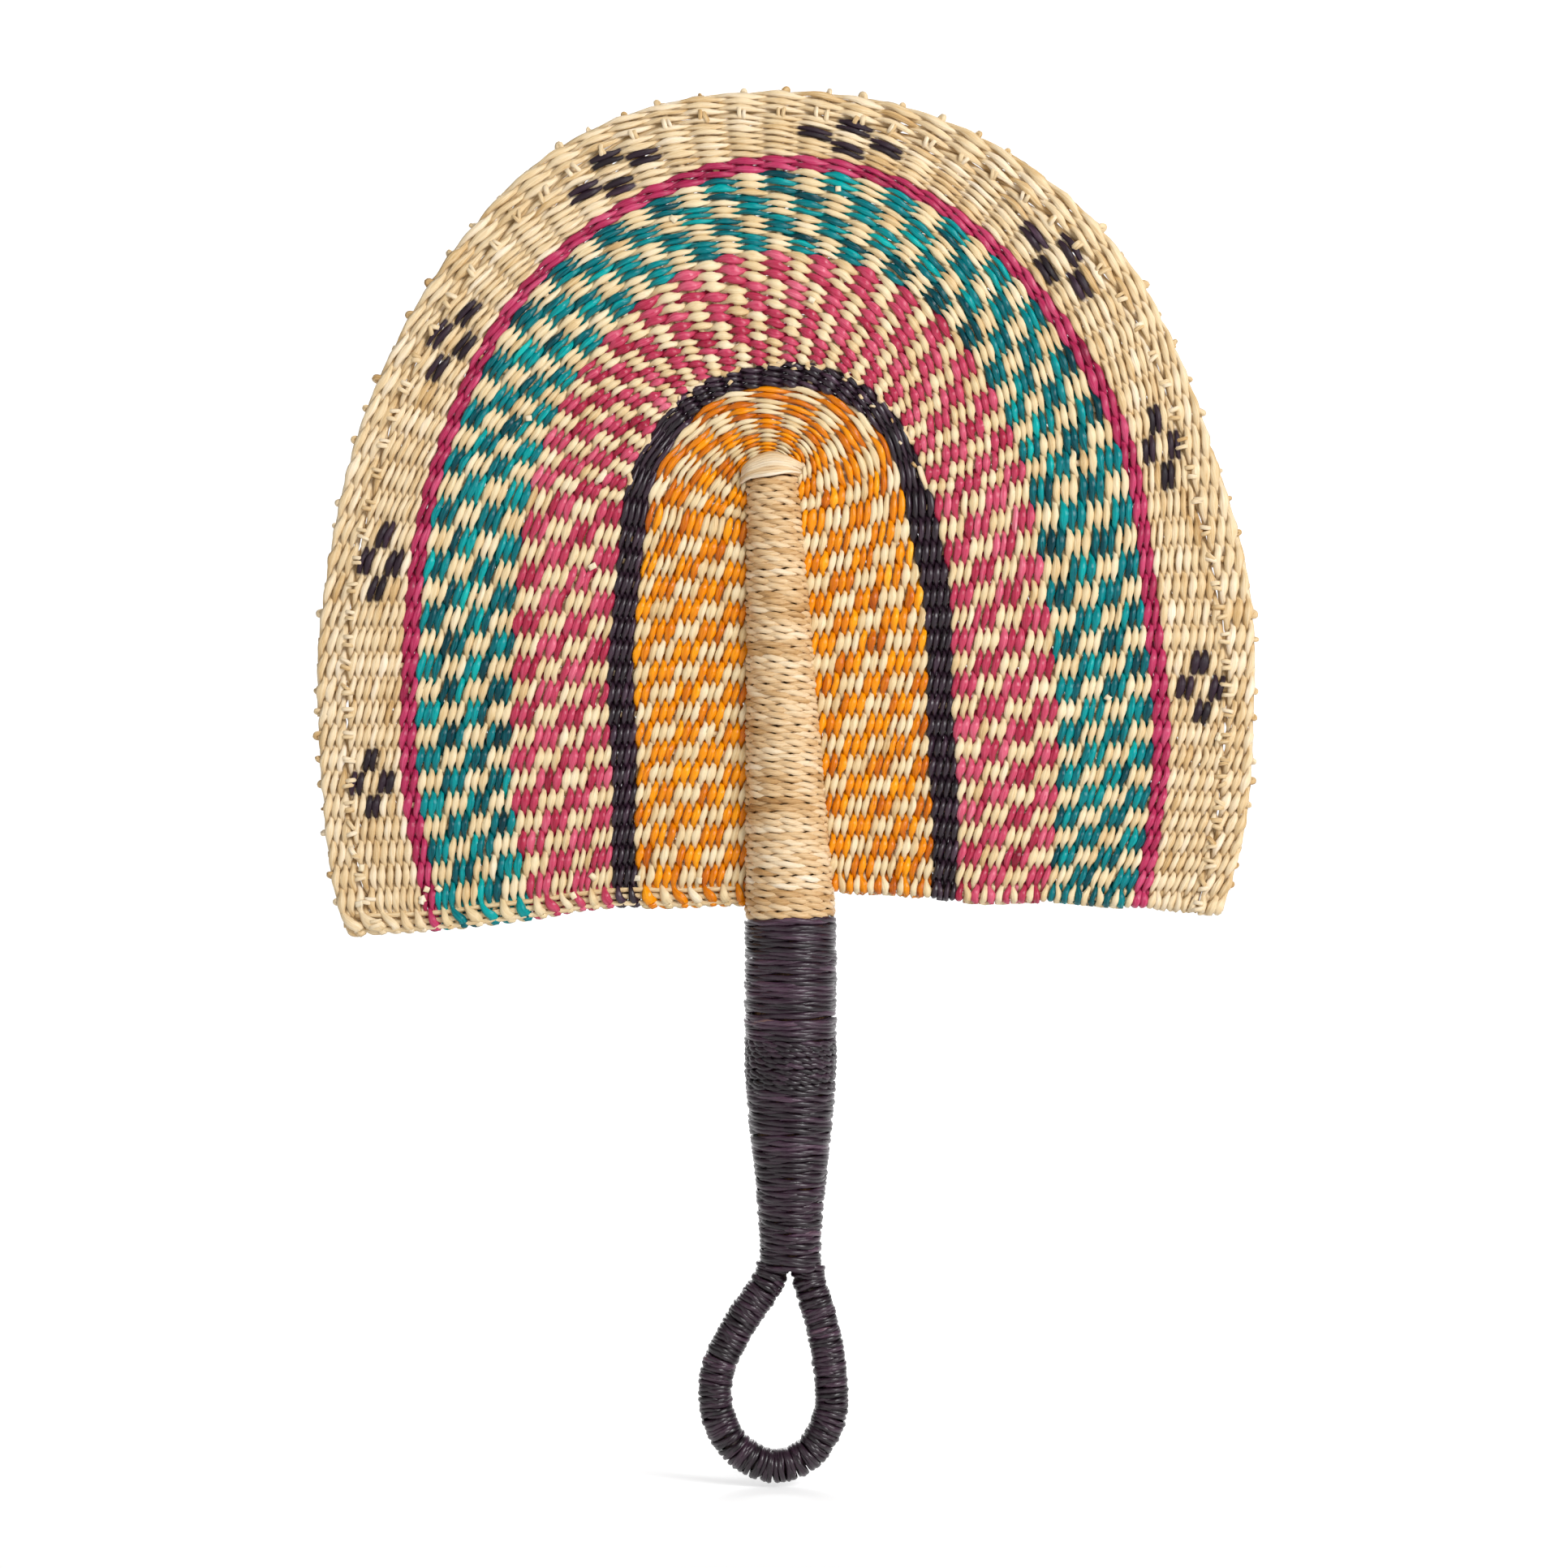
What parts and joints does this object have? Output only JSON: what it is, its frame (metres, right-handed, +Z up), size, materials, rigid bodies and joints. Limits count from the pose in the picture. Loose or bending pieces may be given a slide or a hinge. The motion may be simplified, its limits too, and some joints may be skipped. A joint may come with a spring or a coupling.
{
  "type": "woven hand fan",
  "caption": "Arched hand fan of twined straw in coloured bands, with a cord-wound round handle and a wound hanging loop.",
  "frame": {"origin": "on the handle's axis at the middle of the black wound grip", "axes": "+Z up the handle towards the blade's top, +Y out of the back of the blade, so the front faces -Y"},
  "size_m": [0.2742, 0.027, 0.4055],
  "materials": {
    "straw_bundle": "matte dry straw stems",
    "natural_straw": "undyed straw with a soft satin skin",
    "black_straw": "straw dyed a purplish black, satin",
    "orange_straw": "straw dyed orange, satin",
    "pink_straw": "straw dyed pink, satin",
    "teal_straw": "straw dyed teal, satin",
    "magenta_straw": "straw dyed magenta, satin"
  },
  "bodies": {
    "root": {"handle_core": "straw_bundle", "neck_wrap": "natural_straw", "grip_wrap": "black_straw", "loop_core": "straw_bundle", "loop_wrap": "black_straw", "cross_straw_01": "natural_straw", "cross_straw_02": "natural_straw", "cross_straw_03": "natural_straw", "cross_straw_04": "natural_straw", "cross_straw_05": "natural_straw", "cross_straw_06": "natural_straw", "cross_straw_07": "natural_straw", "cross_straw_08": "natural_straw", "cross_straw_09": "natural_straw", "cross_straw_10": "natural_straw", "cross_straw_11": "natural_straw", "cross_straw_12": "natural_straw", "cross_straw_13": "natural_straw", "cross_straw_14": "natural_straw", "cross_straw_15": "natural_straw", "cross_straw_16": "natural_straw", "cross_straw_17": "natural_straw", "cross_straw_18": "natural_straw", "cross_straw_19": "natural_straw", "upper_straw_01": "natural_straw", "upper_straw_02": "natural_straw", "upper_straw_03": "natural_straw", "upper_straw_04": "natural_straw", "upper_straw_05": "natural_straw", "upper_straw_06": "natural_straw", "upper_straw_07": "natural_straw", "upper_straw_08": "natural_straw", "upper_straw_09": "natural_straw", "upper_straw_10": "natural_straw", "upper_straw_11": "natural_straw", "added_straw_01": "natural_straw", "added_straw_02": "natural_straw", "added_straw_03": "natural_straw", "added_straw_04": "natural_straw", "added_straw_05": "natural_straw", "added_straw_06": "natural_straw", "added_straw_07": "natural_straw", "added_straw_08": "natural_straw", "added_straw_09": "natural_straw", "added_straw_10": "natural_straw", "added_straw_11": "natural_straw", "orange_band": "orange_straw", "black_band": "black_straw", "pink_band": "pink_straw", "teal_band": "teal_straw", "magenta_band": "magenta_straw", "rim_band": "natural_straw"}
  },
  "joints": []
}
